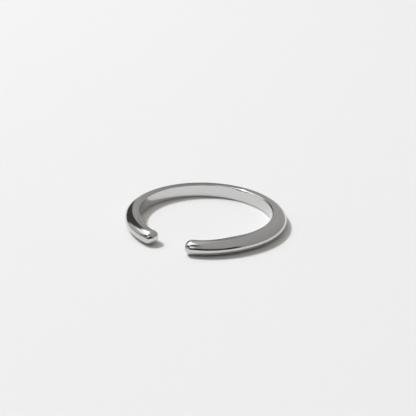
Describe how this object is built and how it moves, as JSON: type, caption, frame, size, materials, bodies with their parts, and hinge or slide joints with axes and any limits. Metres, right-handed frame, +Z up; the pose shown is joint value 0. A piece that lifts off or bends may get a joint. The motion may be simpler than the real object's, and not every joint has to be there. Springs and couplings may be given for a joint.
{
  "type": "open cuff ring",
  "caption": "Plain polished open cuff ring with a flat inner wall, a domed outside and round tips either side of its mouth.",
  "frame": {"origin": "on the bore's axis, in the plane that the ring lies on", "axes": "+Z up along the bore's axis, the mouth between the tips towards -Y, X across the mouth"},
  "size_m": [0.021, 0.0209, 0.0018],
  "materials": {
    "silver": "high polish silver"
  },
  "bodies": {
    "root": {"band": "silver"}
  },
  "joints": []
}
